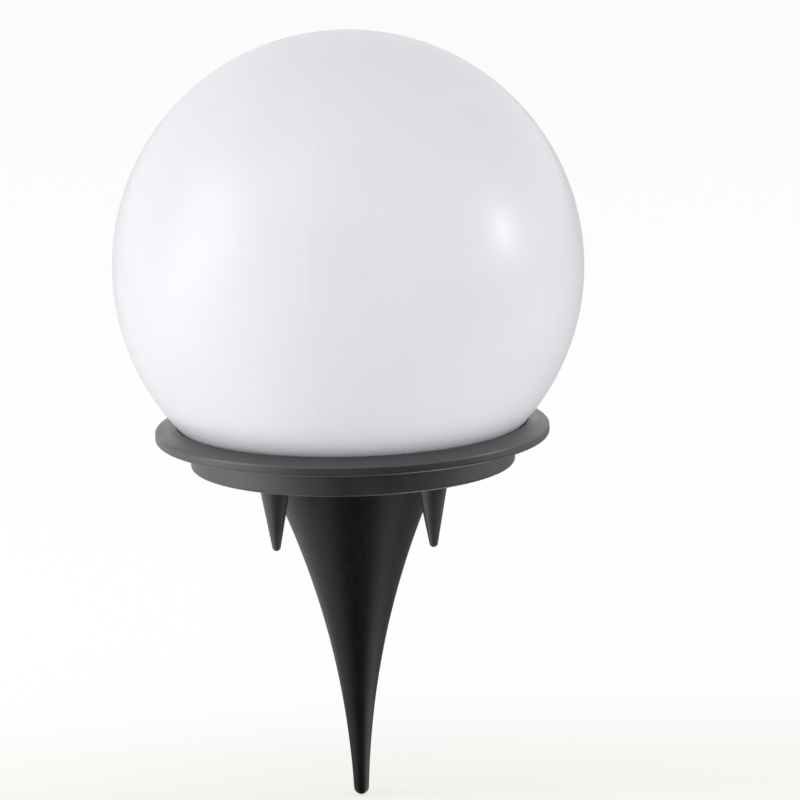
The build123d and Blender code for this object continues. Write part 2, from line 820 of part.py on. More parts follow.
# ------------------------------------------------------------------ switch
# Slide switch over the pocket in the cover. Its slider runs in the body, and the knob
# reaches down through the slot.
knob_rest = -switch_travel / 2
with BuildPart() as switch_body:
    with BuildSketch(Plane.XY.offset(cover_thickness)):
        with Locations((0, switch_place)):
            Rectangle(switch_size[0], switch_size[1])
    extrude(amount=switch_size[2])
    with BuildSketch(Plane.XY.offset(cover_thickness)):
        with Locations((0, switch_place)):
            Rectangle(knob_size[0] + switch_travel + 2 * slip, knob_size[1] + 2 * slip)
    extrude(amount=switch_skin, mode=Mode.SUBTRACT)
    with BuildSketch(Plane.XY.offset(cover_thickness + switch_skin)):
        with Locations((0, switch_place)):
            Rectangle(slider_size[0] + switch_travel + 2 * slip, slider_size[1] + 2 * slip)
    extrude(amount=slider_size[2] + slip, mode=Mode.SUBTRACT)
switch_body.part.label = "switch_body"
export_step(switch_body.part, "parts/switch_body.step")

with BuildPart() as switch_knob:
    with BuildSketch(Plane.XY.offset(cover_thickness + switch_skin)):
        with Locations((knob_rest, switch_place)):
            Rectangle(slider_size[0], slider_size[1])
    extrude(amount=slider_size[2])
    with BuildSketch(Plane.XY.offset(knob_recess)):
        with Locations((knob_rest, switch_place)):
            Rectangle(knob_size[0], knob_size[1])
    extrude(amount=cover_thickness + switch_skin - knob_recess)
    chamfer(switch_knob.edges().group_by(Axis.Z)[0], knob_bevel)
switch_knob.part.label = "switch_knob"
export_step(switch_knob.part, "parts/switch_knob.step")

terminal_bottom = cover_thickness + switch_size[2]
with BuildPart() as switch_terminals:
    with BuildSketch(Plane.XY.offset(terminal_bottom)):
        with Locations((0, switch_place)):
            with GridLocations(terminal_pitch, 0, terminal_count, 1):
                Rectangle(terminal_size[0], terminal_size[1])
    extrude(amount=terminal_size[2])
switch_terminals.part.label = "switch_terminals"
export_step(switch_terminals.part, "parts/switch_terminals.step")

# ------------------------------------------------------------------ leads


def lead_set(routes):
    """Leads along bent routes, each with its own run of points."""
    leads = []
    for route in routes:
        with BuildLine() as path:
            FilletPolyline(*route, radius=lead_bend)
        leads.append(wire(path.wire(), lead_radius))
    return Compound(children=leads)


landing_x, landing_y = panel_lead_landing
panel_lead_straight = panel_lead_ends * (panel_floor - board_top)
panel_leads = lead_set([
    (
        (side * panel_lead_split, panel_lead_y, panel_floor),
        (side * panel_lead_split, panel_lead_y, panel_floor - panel_lead_straight),
        (side * landing_x, landing_y, board_top + panel_lead_straight),
        (side * landing_x, landing_y, board_top),
    )
    for side in (-1, 1)
])
panel_leads.label = "panel_leads"
export_step(panel_leads, "parts/panel_leads.step")

tray_top = tray_bottom + tray_height
lead_height = tray_top + battery_lead_rise * (tray_inside + contact_height - tray_top)
contact_y, board_y = battery_lead_places
battery_leads = lead_set([
    (
        (side * tray_end_x, contact_y, lead_height),
        (side * (tray_end_x + battery_lead_out), contact_y, lead_height),
        (side * (tray_end_x + battery_lead_out - slip), board_y, lead_height),
        (side * (tray_end_x + battery_lead_out - slip), board_y, board_top),
    )
    for side in (-1, 1)
])
battery_leads.label = "battery_leads"
export_step(battery_leads, "parts/battery_leads.step")

with BuildPart() as switch_leads:
    with BuildSketch(Plane.XY.offset(terminal_bottom + terminal_size[2])):
        with Locations((0, switch_place), (terminal_pitch, switch_place)):
            Circle(lead_radius)
    extrude(until=Until.NEXT, target=circuit_board.part)
switch_leads.part.label = "switch_leads"
export_step(switch_leads.part, "parts/switch_leads.step")
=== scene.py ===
from math import cos, pi, radians, sin

import bpy
import bmesh
from mathutils import Matrix, Vector


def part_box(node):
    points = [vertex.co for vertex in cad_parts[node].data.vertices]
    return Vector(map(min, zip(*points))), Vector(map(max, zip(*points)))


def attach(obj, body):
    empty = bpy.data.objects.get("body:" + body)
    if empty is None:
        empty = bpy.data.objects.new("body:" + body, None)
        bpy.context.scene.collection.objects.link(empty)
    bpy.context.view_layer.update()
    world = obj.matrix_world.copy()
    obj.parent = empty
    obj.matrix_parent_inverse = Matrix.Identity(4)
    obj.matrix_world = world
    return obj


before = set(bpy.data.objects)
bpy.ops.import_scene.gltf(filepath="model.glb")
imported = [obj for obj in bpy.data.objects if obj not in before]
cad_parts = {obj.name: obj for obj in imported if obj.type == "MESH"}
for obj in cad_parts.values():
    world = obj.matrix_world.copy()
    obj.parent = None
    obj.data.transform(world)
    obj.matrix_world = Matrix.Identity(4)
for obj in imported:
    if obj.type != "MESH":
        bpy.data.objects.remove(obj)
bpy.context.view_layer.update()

# Garden globe light: surface finishes, the lamps' inner parts, light, floor and camera.
# Lengths are in metres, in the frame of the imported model: +Z up, the front towards -Y.
MM = 0.001

globe_low, globe_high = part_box("globe")
globe_radius = (globe_high.x - globe_low.x) / 2
globe_centre = Vector((0, 0, globe_high.z - globe_radius))
spike_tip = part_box("ground_spike")[0].z


# ------------------------------------------------------------------ camera
# A long lens, far away, that looks slightly down on the light.
picture_side = 800                    # pixels
camera_elevation = radians(11.7)
camera_roll = radians(1.45)
picture_scale = 4.85 / MM             # pixels per metre at the light's axis
globe_in_picture = (348.1, 265.6)     # pixels, the globe's centre
lens = 900                            # millimetres
sensor = 36                           # millimetres


def add_camera():
    """Camera that shows the light at the picture's scale, place, height and tilt."""
    across = Vector((1, 0, 0))
    up = Vector((0, sin(camera_elevation), cos(camera_elevation)))
    right = cos(camera_roll) * across - sin(camera_roll) * up
    top = sin(camera_roll) * across + cos(camera_roll) * up
    back = right.cross(top)
    half = picture_side / 2
    aim = globe_centre + right * (half - globe_in_picture[0]) / picture_scale
    aim -= top * (half - globe_in_picture[1]) / picture_scale
    distance = lens / sensor * picture_side / picture_scale
    data = bpy.data.cameras.new("camera")
    data.lens = lens
    data.sensor_width = sensor
    data.clip_start = 0.1
    data.clip_end = 20
    camera = bpy.data.objects.new("camera", data)
    bpy.context.scene.collection.objects.link(camera)
    turn = Matrix((right, top, back)).transposed().to_4x4()
    camera.matrix_world = Matrix.Translation(aim + back * distance) @ turn
    bpy.context.scene.camera = camera


# ------------------------------------------------------------------ node helpers
class Finish:
    """A material under construction: its nodes, its main shader and points on the piece."""

    def __init__(self, name):
        self.material = bpy.data.materials.new(name)
        self.material.use_nodes = True
        self.tree = self.material.node_tree
        self.shader = self.tree.nodes["Principled BSDF"]
        self.output = self.tree.nodes["Material Output"]
        self.point = self.add("ShaderNodeTexCoord").outputs["Object"]

    def add(self, kind, **settings):
        """New node of a kind, with its settings."""
        node = self.tree.nodes.new(kind)
        for key, value in settings.items():
            setattr(node, key, value)
        return node

    def put(self, socket, value):
        """Links a node's output to the socket, or sets a plain value on it."""
        if isinstance(value, bpy.types.NodeSocket):
            self.tree.links.new(value, socket)
        else:
            socket.default_value = value

    def set(self, **values):
        """Sets or links the main shader's inputs, named with _ for each space."""
        for key, value in values.items():
            name = key.replace("_", " ")
            if name.endswith("Color") and not isinstance(value, bpy.types.NodeSocket):
                value = (*value, 1)
            self.put(self.shader.inputs[name], value)

    def math(self, operation, first, second=0.0):
        """Result of a sum, product or other operation on one or two numbers."""
        node = self.add("ShaderNodeMath", operation=operation)
        self.put(node.inputs[0], first)
        self.put(node.inputs[1], second)
        return node.outputs[0]

    def vector(self, operation, first, second, output=0):
        """Result of an operation on two vectors, from a named output where it is a number."""
        node = self.add("ShaderNodeVectorMath", operation=operation)
        self.put(node.inputs[0], first)
        self.put(node.inputs[1], second)
        return node.outputs[output]

    def along(self, direction, origin=(0, 0, 0)):
        """How far the point lies from the origin along a direction."""
        moved = self.vector("SUBTRACT", self.point, origin)
        return self.vector("DOT_PRODUCT", moved, direction, "Value")

    def from_axis(self, place, across=(1, 1, 0)):
        """Distance from an upright axis through place, or from another one set by across."""
        moved = self.vector("SUBTRACT", self.point, place)
        flat = self.vector("MULTIPLY", moved, across)
        return self.vector("LENGTH", flat, (0, 0, 0), "Value")

    def noise(self, size, detail=2.0, stretch=(1, 1, 1), seed=0.0):
        """Noise with features of a size, longer by stretch along each axis."""
        scaled = self.vector("MULTIPLY", self.point, [1 / size / s for s in stretch])
        return self.noise_at(self.vector("ADD", scaled, (seed, -seed, 2 * seed)), detail)

    def ring_noise(self, size, length, detail):
        """Noise drawn out along circles about the upright axis."""
        parts = self.add("ShaderNodeSeparateXYZ")
        self.put(parts.inputs[0], self.point)
        turn = self.math("ARCTAN2", parts.outputs[1], parts.outputs[0])
        radius = self.from_axis((0, 0, 0))
        joined = self.add("ShaderNodeCombineXYZ")
        self.put(joined.inputs[0], self.math("MULTIPLY", radius, 1 / size))
        self.put(joined.inputs[1], self.math("MULTIPLY", self.math("COSINE", turn), 1 / length))
        self.put(joined.inputs[2], self.math("MULTIPLY", self.math("SINE", turn), 1 / length))
        return self.noise_at(joined.outputs[0], detail)

    def noise_at(self, place, detail):
        """Noise with features of unit size, read at a place."""
        node = self.add("ShaderNodeTexNoise")
        self.put(node.inputs["Vector"], place)
        self.put(node.inputs["Scale"], 1.0)
        self.put(node.inputs["Detail"], detail)
        return node.outputs["Fac"]

    def flat_cells(self, size, **settings):
        """Node with irregular cells of a size, the same at every height."""
        node = self.add("ShaderNodeTexVoronoi", **settings)
        self.put(node.inputs["Vector"], self.vector("MULTIPLY", self.point, (1, 1, 0)))
        node.inputs["Scale"].default_value = 1 / size
        return node

    def wave(self, place, pitch):
        """Sine wave along a place, one period in each pitch."""
        return self.math("SINE", self.math("MULTIPLY", place, 2 * pi / pitch))

    def span(self, value, low, high, out_low=0.0, out_high=1.0):
        """Maps low..high to out_low..out_high, held at both ends."""
        node = self.add("ShaderNodeMapRange")
        for socket, number in zip(node.inputs, (value, low, high, out_low, out_high)):
            self.put(socket, number)
        return node.outputs[0]

    def spread(self, noise, low=0.0, high=1.0):
        """Maps noise, nearly all of which lies from 0.3 to 0.7, to low..high."""
        return self.span(noise, 0.3, 0.7, low, high)

    def mix(self, share, first, second):
        """Colour from first to second by a share from 0 to 1."""
        node = self.add("ShaderNodeMix", data_type="RGBA")
        self.put(node.inputs["Factor"], share)
        for socket, colour in zip([s for s in node.inputs if s.type == "RGBA"], (first, second)):
            self.put(socket, colour if isinstance(colour, bpy.types.NodeSocket) else (*colour, 1))
        return [s for s in node.outputs if s.type == "RGBA"][0]

    def bump(self, height, depth, under=None):
        """Raises the surface by height times depth, on top of an earlier bump."""
        node = self.add("ShaderNodeBump")
        node.inputs["Strength"].default_value = 1.0
        node.inputs["Distance"].default_value = depth
        self.put(node.inputs["Height"], height)
        if under is not None:
            self.put(node.inputs["Normal"], under)
        return node.outputs["Normal"]


def shade(colour, factor):
    """Colour made darker or brighter by a factor."""
    return tuple(min(1.0, part * factor) for part in colour)


# ------------------------------------------------------------------ finishes
def frosted_plastic():
    """Milky blow-moulded plastic with a satin skin, and a faint parting-line ridge drawn darker as
    painted shade.
    """
    tone = (0.800, 0.772, 0.835)
    parting_angle = radians(-9)       # from the front, about the axis
    parting_width = 0.35 * MM
    painted_seam_shade = 0.35               # share of the darker tone along the ridge, a painted seam shade
    finish = Finish("frosted_plastic")
    cloud = finish.noise(26 * MM, 2.0)
    colour = finish.mix(finish.span(cloud, 0.35, 0.65), shade(tone, 0.985), shade(tone, 1.01))
    across = finish.along((cos(parting_angle), sin(parting_angle), 0))
    # Mask along the parting line: it raises the ridge as a bump and carries the painted seam shade.
    parting_ridge_and_shade = finish.span(finish.math("ABSOLUTE", across), 0, parting_width, 1, 0)
    # The darker line along the ridge is painted shade of a seam, not a colour of the plastic.
    colour_with_painted_seam_shade = finish.mix(finish.math("MULTIPLY", parting_ridge_and_shade, painted_seam_shade), colour, shade(tone, 0.94))
    skin = finish.bump(finish.noise(1.4 * MM, 3.0), 0.012 * MM)
    ripple = finish.bump(finish.noise(14 * MM, 1.0, seed=3.0), 0.10 * MM, skin)
    normal = finish.bump(parting_ridge_and_shade, 0.03 * MM, ripple)
    finish.set(
        Base_Color=colour_with_painted_seam_shade,
        Roughness=finish.spread(finish.noise(5 * MM, 3.0, seed=7.0), 0.285, 0.320),
        IOR=1.49,
        Subsurface_Weight=0.6,
        Subsurface_Radius=(1.0, 0.95, 0.92),
        Subsurface_Scale=5 * MM,
        Normal=normal,
    )
    return finish.material


def moulded_plastic(name, tone, rough, gloss=0.5, bloom=0.0, streak=(1, 1, 1), rings=False):
    """Black injection-moulded plastic: fine spark-eroded grain, satin patches and flow lines."""
    finish = Finish(name)
    patch = finish.noise(9 * MM, 3.0)
    if rings:
        flow = finish.ring_noise(1.1 * MM, 0.28, 3.0)
    else:
        flow = finish.noise(0.9 * MM, 3.0, streak, 5.0)
    share = finish.span(finish.math("MULTIPLY", patch, flow), 0.1, 0.45)
    colour = finish.mix(share, shade(tone, 0.72), shade(tone, 1.3))
    grain = finish.bump(finish.noise(0.16 * MM, 2.0), 0.010 * MM)
    normal = finish.bump(flow, 0.022 * MM, grain)
    finish.set(
        Base_Color=colour,
        Roughness=finish.spread(flow, rough - 0.05, rough + 0.08),
        IOR=1.5,
        Specular_IOR_Level=gloss,
        Sheen_Weight=bloom,
        Sheen_Roughness=0.4,
        Normal=normal,
    )
    return finish.material


def rubber():
    """Soft black rubber with a dull bloom."""
    finish = Finish("rubber")
    bloom = finish.noise(3 * MM, 4.0)
    dusty = finish.span(bloom, 0.35, 0.7)
    finish.set(
        Base_Color=finish.mix(dusty, (0.010, 0.010, 0.011), (0.034, 0.033, 0.032)),
        Roughness=finish.spread(bloom, 0.62, 0.84),
        Specular_IOR_Level=0.35,
        Normal=finish.bump(finish.noise(0.2 * MM, 3.0), 0.02 * MM),
    )
    return finish.material


def plated_metal(name, tone, rough, brush=(1, 1, 1)):
    """Plated sheet or wire with fine drawing marks and faint tarnish."""
    finish = Finish(name)
    marks = finish.noise(0.3 * MM, 3.0, brush)
    tarnish = finish.noise(2.5 * MM, 4.0, seed=2.0)
    finish.set(
        Base_Color=finish.mix(finish.span(tarnish, 0.4, 0.75), tone, shade(tone, 0.72)),
        Metallic=1.0,
        Roughness=finish.spread(marks, rough - 0.04, rough + 0.08),
        Normal=finish.bump(marks, 0.006 * MM),
    )
    return finish.material


def cover_screw_steel():
    """Zinc-plated screws, dull where they are worn, with a rolled thread on the shanks."""
    pitch = 1.0 * MM
    thread_begins = 1.3 * MM          # over the lowest point of the heads
    fade = 0.1 * MM
    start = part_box("cover_screws")[0].z + thread_begins
    finish = Finish("screw_steel")
    height = finish.along((0, 0, 1))
    ridge = finish.wave(height, pitch)
    shank = finish.span(height, start - fade, start + fade)
    marks = finish.noise(0.25 * MM, 3.0, (1, 1, 0.3))
    worn = finish.noise(1.6 * MM, 4.0, seed=4.0)
    thread = finish.bump(finish.math("MULTIPLY", ridge, shank), 0.12 * MM)
    bright, dull = (0.62, 0.62, 0.63), (0.38, 0.37, 0.36)
    finish.set(
        Base_Color=finish.mix(finish.span(worn, 0.4, 0.7), bright, dull),
        Metallic=1.0,
        Roughness=finish.spread(marks, 0.29, 0.42),
        Normal=finish.bump(marks, 0.008 * MM, thread),
    )
    return finish.material


def glass_laminate():
    """Black-green circuit laminate with the weave of its glass cloth."""
    pitch = 0.5 * MM
    finish = Finish("glass_laminate")
    warp = finish.wave(finish.along((1, 0, 0)), pitch)
    weft = finish.wave(finish.along((0, 1, 0)), pitch)
    weave = finish.math("MULTIPLY", warp, weft)
    resin, glass = (0.012, 0.020, 0.016), (0.020, 0.036, 0.027)
    finish.set(
        Base_Color=finish.mix(finish.span(weave, -1, 1), resin, glass),
        Roughness=finish.spread(finish.noise(2 * MM), 0.32, 0.45),
        Normal=finish.bump(weave, 0.01 * MM),
    )
    return finish.material


def solar_cell():
    """Silicon strips: blue crystal grain, a bus bar along each strip, fine fingers across."""
    low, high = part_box("solar_cells")
    strips = 6                        # solids side by side
    gap = 0.5 * MM                    # between two of them
    pitch = (high.x - low.x + gap) / strips
    crystal = 2.6 * MM
    finger_pitch = 1.45 * MM
    finger_width = 0.07 * MM
    finger_tint = 0.5                 # the fingers are too thin to look quite silver
    bar_width = 0.45 * MM
    finish = Finish("solar_cell")
    crystals = finish.flat_cells(crystal)
    grey = finish.add("ShaderNodeSeparateColor")
    finish.put(grey.inputs[0], crystals.outputs["Color"])
    silicon = finish.mix(grey.outputs[0], (0.007, 0.016, 0.070), (0.018, 0.040, 0.150))
    from_low = finish.along((1, 0, 0), (low.x - gap / 2, 0, 0))
    in_strip = finish.math("FLOORED_MODULO", from_low, pitch)
    off_bar = finish.math("ABSOLUTE", finish.math("SUBTRACT", in_strip, pitch / 2))
    bar = finish.math("LESS_THAN", off_bar, bar_width / 2)
    in_step = finish.math("FLOORED_MODULO", finish.along((0, 1, 0), (0, low.y, 0)), finger_pitch)
    off_finger = finish.math("ABSOLUTE", finish.math("SUBTRACT", in_step, finger_pitch / 2))
    finger = finish.math("LESS_THAN", off_finger, finger_width / 2)
    silver = finish.math("MAXIMUM", bar, finish.math("MULTIPLY", finger, finger_tint))
    finish.set(
        Base_Color=finish.mix(silver, silicon, (0.62, 0.62, 0.64)),
        Metallic=finish.math("MULTIPLY", silver, 0.9),
        Roughness=finish.span(silver, 0, 1, 0.29, 0.40),
        Normal=finish.bump(silver, 0.01 * MM),
    )
    return finish.material


def clear_resin():
    """Clear casting resin, faintly yellow, with a slightly uneven poured surface."""
    finish = Finish("clear_resin")
    pour = finish.noise(9 * MM, 1.0)
    clear, yellowed = (0.985, 0.985, 0.960), (0.960, 0.965, 0.925)
    finish.set(
        Base_Color=finish.mix(finish.spread(pour), clear, yellowed),
        Roughness=finish.spread(finish.noise(3 * MM), 0.02, 0.06),
        IOR=1.53,
        Transmission_Weight=1.0,
        Normal=finish.bump(pour, 0.03 * MM),
    )
    return finish.material


def lamp_resin():
    """Water-clear lamp body, a little warmer towards its flange."""
    low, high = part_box("leds")
    finish = Finish("lamp_resin")
    depth = finish.span(finish.along((0, 0, 1)), low.z, high.z)
    finish.set(
        Base_Color=finish.mix(depth, (0.97, 0.93, 0.82), (0.99, 0.99, 0.97)),
        Roughness=finish.spread(finish.noise(0.8 * MM, 3.0), 0.03, 0.09),
        IOR=1.54,
        Transmission_Weight=1.0,
        Normal=finish.bump(finish.noise(0.9 * MM, 1.0), 0.01 * MM),
    )
    return finish.material


def phosphor():
    """Yellow phosphor gel over the lamp's chip."""
    finish = Finish("phosphor")
    grit = finish.noise(0.12 * MM, 3.0)
    finish.set(
        Base_Color=finish.mix(finish.spread(grit), (0.86, 0.62, 0.08), (0.93, 0.76, 0.20)),
        Roughness=finish.spread(grit, 0.35, 0.5),
        Normal=finish.bump(grit, 0.01 * MM),
    )
    return finish.material


def wire_insulation(name, left, right):
    """Extruded insulation: one colour on each side of the middle, with a dull skin."""
    finish = Finish(name)
    side = finish.math("GREATER_THAN", finish.along((1, 0, 0)), 0)
    streaks = finish.noise(0.4 * MM, 3.0, (1, 1, 5))
    plain = finish.mix(side, left, right)
    dusty = finish.mix(side, shade(left, 1.35), shade(right, 1.35))
    finish.set(
        Base_Color=finish.mix(finish.span(streaks, 0.35, 0.7), plain, dusty),
        Roughness=finish.spread(streaks, 0.38, 0.52),
        Normal=finish.bump(streaks, 0.01 * MM),
    )
    return finish.material


def battery_sleeve():
    """Shrink sleeve on a cell: plated ends, and a wrinkled edge where the sleeve rolls over."""
    low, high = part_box("battery_cell")
    axis = (0, (low.y + high.y) / 2, (low.z + high.z) / 2)
    nub = 0.95 * MM                   # length of the bare plus end
    minus_plate = 0.25 * MM           # depth to which the minus end is bare
    rolled = 1.9 * MM                 # how far the sleeve reaches in over the minus end
    bare_radius = (high.z - low.z) / 2 - rolled
    finish = Finish("battery_sleeve")
    along = finish.along((1, 0, 0))
    plus = finish.math("GREATER_THAN", along, high.x - nub)
    minus = finish.math("LESS_THAN", along, low.x + minus_plate)
    inner = finish.math("LESS_THAN", finish.from_axis(axis, (0, 1, 1)), bare_radius)
    bare = finish.math("MAXIMUM", finish.math("MULTIPLY", minus, inner), plus)
    film = finish.noise(4 * MM, 3.0, (3, 1, 1))
    green = finish.mix(finish.span(film, 0.35, 0.7), (0.020, 0.110, 0.052), (0.030, 0.150, 0.075))
    finish.set(
        Base_Color=finish.mix(bare, green, (0.66, 0.66, 0.65)),
        Metallic=bare,
        Roughness=finish.spread(film, 0.29, 0.38),
        Normal=finish.bump(film, 0.03 * MM),
    )
    return finish.material


def board_mask():
    """Green solder mask over copper tracks on the circuit board."""
    patch = 3.2 * MM
    tracks_in_patch = 4
    finish = Finish("board_mask")
    patches = finish.flat_cells(patch, distance="CHEBYCHEV", feature="F1")
    steps = finish.math("MULTIPLY", patches.outputs["Distance"], tracks_in_patch)
    edge = finish.math("FRACT", steps)
    copper = finish.span(edge, 0.45, 0.55)
    cloth = finish.noise(0.5 * MM, 2.0)
    finish.set(
        Base_Color=finish.mix(copper, (0.008, 0.060, 0.022), (0.016, 0.130, 0.040)),
        Roughness=finish.spread(cloth, 0.29, 0.40),
        Normal=finish.bump(copper, 0.03 * MM),
    )
    return finish.material


def chip_epoxy():
    """Moulded epoxy package with plated legs along both long sides."""
    low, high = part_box("driver_chip")
    middle = (low + high) / 2
    body_half = 1.95 * MM             # from the middle to where the legs begin
    finish = Finish("chip_epoxy")
    off = finish.math("ABSOLUTE", finish.along((0, 1, 0), middle))
    leg = finish.math("GREATER_THAN", off, body_half)
    grain = finish.noise(0.08 * MM, 3.0)
    epoxy = finish.mix(finish.spread(grain), (0.010, 0.010, 0.011), (0.024, 0.024, 0.025))
    finish.set(
        Base_Color=finish.mix(leg, epoxy, (0.70, 0.70, 0.70)),
        Metallic=leg,
        Roughness=finish.spread(grain, 0.42, 0.6),
        Normal=finish.bump(grain, 0.008 * MM),
    )
    return finish.material


def choke_finish():
    """Grey ferrite bobbin with turns of enamelled copper round its waist."""
    low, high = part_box("choke")
    middle = (low + high) / 2
    flange = 1.1 * MM                 # thickness of its bottom and top
    wire = 0.36 * MM                  # thickness of a turn
    finish = Finish("ferrite")
    off = finish.math("ABSOLUTE", finish.along((0, 0, 1), middle))
    wound = finish.math("LESS_THAN", off, (high.z - low.z) / 2 - flange)
    height = finish.along((0, 0, 1))
    turns = finish.math("ABSOLUTE", finish.wave(height, 2 * wire))
    grain = finish.noise(0.15 * MM, 3.0)
    core = finish.mix(finish.spread(grain), (0.020, 0.020, 0.021), (0.045, 0.044, 0.044))
    copper = finish.mix(turns, (0.28, 0.07, 0.02), (0.72, 0.26, 0.10))
    finish.set(
        Base_Color=finish.mix(wound, core, copper),
        Metallic=finish.math("MULTIPLY", wound, 0.85),
        Roughness=finish.spread(grain, 0.35, 0.6),
        Normal=finish.bump(finish.math("MULTIPLY", turns, wound), 0.08 * MM),
    )
    return finish.material


def capacitor_can():
    """Capacitor in a dark sleeve with a pale stripe, and a bare aluminium top."""
    low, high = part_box("capacitor")
    middle = (low + high) / 2
    bare = 0.3 * MM                   # height of the bare top
    stripe_begins = 0.8 * (high.x - low.x) / 2
    finish = Finish("capacitor_can")
    top = finish.math("GREATER_THAN", finish.along((0, 0, 1)), high.z - bare)
    stripe = finish.math("GREATER_THAN", finish.along((1, 0, 0), middle), stripe_begins)
    film = finish.noise(1.5 * MM, 3.0)
    sleeve = finish.mix(finish.span(film, 0.35, 0.7), (0.010, 0.016, 0.030), (0.018, 0.028, 0.050))
    printed = finish.mix(stripe, sleeve, (0.55, 0.57, 0.60))
    finish.set(
        Base_Color=finish.mix(top, printed, (0.72, 0.72, 0.73)),
        Metallic=top,
        Roughness=finish.spread(film, 0.29, 0.38),
        Normal=finish.bump(film, 0.01 * MM),
    )
    return finish.material


def resistor_finish():
    """Beige carbon-film body with four colour bands, and tinned wires."""
    low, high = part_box("resistor")
    body_half = 3.1 * MM              # from the middle to where the wires begin
    band_half = 0.22 * MM
    bands = {                         # millimetres from the middle
        -1.9: (0.10, 0.02, 0.01),
        -0.9: (0.01, 0.01, 0.01),
        0.1: (0.45, 0.10, 0.01),
        1.7: (0.50, 0.34, 0.06),
    }
    finish = Finish("resistor_body")
    along = finish.along((1, 0, 0), (low + high) / 2)
    skin = finish.noise(0.5 * MM, 3.0)
    colour = finish.mix(finish.spread(skin), (0.50, 0.36, 0.20), (0.60, 0.45, 0.27))
    for place, band in bands.items():
        off = finish.math("ABSOLUTE", finish.math("SUBTRACT", along, place * MM))
        colour = finish.mix(finish.math("LESS_THAN", off, band_half), colour, band)
    wire = finish.math("GREATER_THAN", finish.math("ABSOLUTE", along), body_half)
    finish.set(
        Base_Color=finish.mix(wire, colour, (0.70, 0.70, 0.69)),
        Metallic=wire,
        Roughness=finish.spread(skin, 0.30, 0.45),
        Normal=finish.bump(skin, 0.015 * MM),
    )
    return finish.material


def dress(materials):
    """Gives each CAD node its finish."""
    for name, material in materials.items():
        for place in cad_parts[name].material_slots:
            place.material = material


# ------------------------------------------------------------------ lamps' inner parts
def add_lamp_insides(cup_material, gel_material):
    """Inside each lamp: the reflector cup on its post, and the phosphor that fills the cup."""
    low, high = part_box("leds")
    flange_radius = 2.8 * MM
    out = high.x - flange_radius
    lamp_places = [(out, 0), (0, out), (-out, 0), (0, -out)]
    foot = low.z + 0.2 * MM           # where the post begins, inside the lamp
    # outlines of (radius, height) in millimetres
    cup = [(0.25, 0.0), (0.25, 1.1), (0.95, 1.9), (0.85, 1.9), (0.45, 1.45), (0.0, 1.45)]
    gel = [(0.0, 1.5), (0.44, 1.5), (0.82, 1.86), (0.5, 1.98), (0.0, 2.02)]
    for name, outline, material, finish in (
        ("lamp_cups", cup, cup_material, "tinned_wire"),
        ("lamp_phosphor", gel, gel_material, "lamp_resin"),
    ):
        turned = [(radius * MM, height * MM) for radius, height in outline]
        shape = bmesh.new()
        for x, y in lamp_places:
            add_turned(shape, turned, Vector((x, y, foot)))
        piece = new_piece(name, shape, material)
        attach(piece, "base")


def add_turned(shape, outline, place, steps=32):
    """Turns an outline of (radius, height) points about an upright axis through place."""
    angles = [2 * pi * step / steps for step in range(steps)]
    if outline[0][0] > 0:
        outline = [(0, outline[0][1]), *outline]      # closes the bottom
    rings = []
    for radius, height in outline:
        turns = angles if radius > 0 else [0]
        points = [Vector((radius * cos(turn), radius * sin(turn), height)) for turn in turns]
        rings.append([shape.verts.new(place + point) for point in points])
    for lower, upper in zip(rings, rings[1:]):
        for step in range(steps):
            corners = [lower[step % len(lower)], lower[(step + 1) % len(lower)]]
            corners += [upper[(step + 1) % len(upper)], upper[step % len(upper)]]
            shape.faces.new(list(dict.fromkeys(corners)))


def new_piece(name, shape, material):
    """Smooth-shaded object made from a bmesh, with one material."""
    bmesh.ops.recalc_face_normals(shape, faces=shape.faces)
    mesh = bpy.data.meshes.new(name)
    shape.to_mesh(mesh)
    shape.free()
    for face in mesh.polygons:
        face.use_smooth = True
    mesh.materials.append(material)
    piece = bpy.data.objects.new(name, mesh)
    bpy.context.scene.collection.objects.link(piece)
    return piece


# ------------------------------------------------------------------ floor and light
floor_gap = 0.2 * MM                  # under the tip of the spike
fill_level = 0.80                     # level of the light from all round
fill_slope = 0.29                     # how much it rises to its brightest side, and falls opposite
fill_from = (0, -0.94, -0.34)         # direction of that side: the front, and a little below
floor_glow = 0.70                     # part of the floor's white that no shadow takes away
floor_lit = 0.34                      # part of it that the lamps and the surroundings light
ray_kinds_of_backdrop = ("Is Camera Ray", "Is Glossy Ray", "Is Transmission Ray")


def add_world():
    """White surroundings, whose light on the object is stronger from the front and below."""
    world = bpy.data.worlds.new("world")
    bpy.context.scene.world = world
    world.use_nodes = True
    tree = world.node_tree
    back = tree.nodes["Background"]
    path = tree.nodes.new("ShaderNodeLightPath")
    seen = path.outputs[ray_kinds_of_backdrop[0]]
    for kind in ray_kinds_of_backdrop[1:]:
        either = tree.nodes.new("ShaderNodeMath")
        either.operation = "MAXIMUM"
        tree.links.new(seen, either.inputs[0])
        tree.links.new(path.outputs[kind], either.inputs[1])
        seen = either.outputs[0]
    direction = tree.nodes.new("ShaderNodeTexCoord").outputs["Generated"]
    towards = tree.nodes.new("ShaderNodeVectorMath")
    towards.operation = "DOT_PRODUCT"
    tree.links.new(direction, towards.inputs[0])
    towards.inputs[1].default_value = fill_from
    fill = tree.nodes.new("ShaderNodeMath")
    fill.operation = "MULTIPLY_ADD"
    tree.links.new(towards.outputs["Value"], fill.inputs[0])
    fill.inputs[1].default_value = fill_slope
    fill.inputs[2].default_value = fill_level
    level = tree.nodes.new("ShaderNodeMapRange")
    tree.links.new(seen, level.inputs["Value"])
    tree.links.new(fill.outputs[0], level.inputs["To Min"])
    level.inputs["To Max"].default_value = 1.0
    back.inputs["Color"].default_value = (1, 1, 1, 1)
    tree.links.new(level.outputs["Result"], back.inputs["Strength"])


